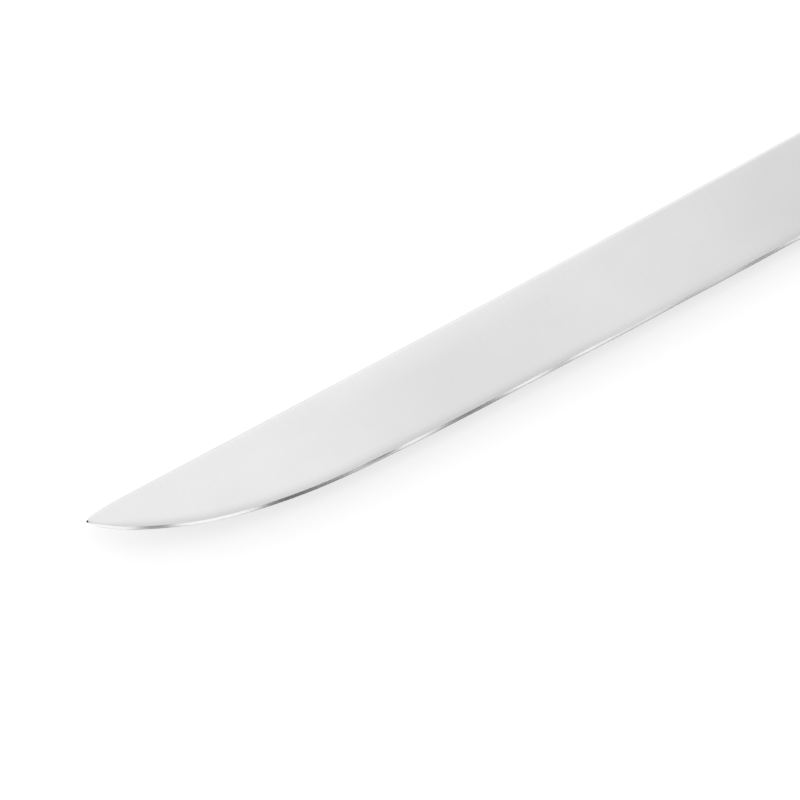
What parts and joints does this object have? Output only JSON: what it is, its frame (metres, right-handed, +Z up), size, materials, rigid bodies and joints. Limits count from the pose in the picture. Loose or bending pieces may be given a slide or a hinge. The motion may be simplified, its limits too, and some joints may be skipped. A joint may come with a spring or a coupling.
{
  "type": "fillet knife",
  "caption": "Fixed-blade fillet knife lying on its side: long slim satin blade with a rising belly and fine polished edge, coved steel bolster and riveted black full-tang handle.",
  "frame": {"origin": "under the middle of the knife's length and width, in the plane that the handle lies on", "axes": "+X from the tip towards the butt, +Y towards the spine, +Z up out of the knife's left face"},
  "size_m": [0.32, 0.0268, 0.017],
  "materials": {
    "blade_steel": "satin, brushed across the blade, with a polished edge bevel",
    "bolster_steel": "fine satin",
    "scale_plastic": "black, fine matte grain",
    "rivet_steel": "turned and ground flush",
    "pin_steel": "ground flush with the bolster"
  },
  "bodies": {
    "root": {"blade": "blade_steel", "left_bolster": "bolster_steel", "right_bolster": "bolster_steel", "left_scale": "scale_plastic", "right_scale": "scale_plastic", "front_rivet_stud": "rivet_steel", "front_rivet_socket": "rivet_steel", "middle_rivet_stud": "rivet_steel", "middle_rivet_socket": "rivet_steel", "rear_rivet_stud": "rivet_steel", "rear_rivet_socket": "rivet_steel", "upper_bolster_pin": "pin_steel", "lower_bolster_pin": "pin_steel"}
  },
  "joints": []
}
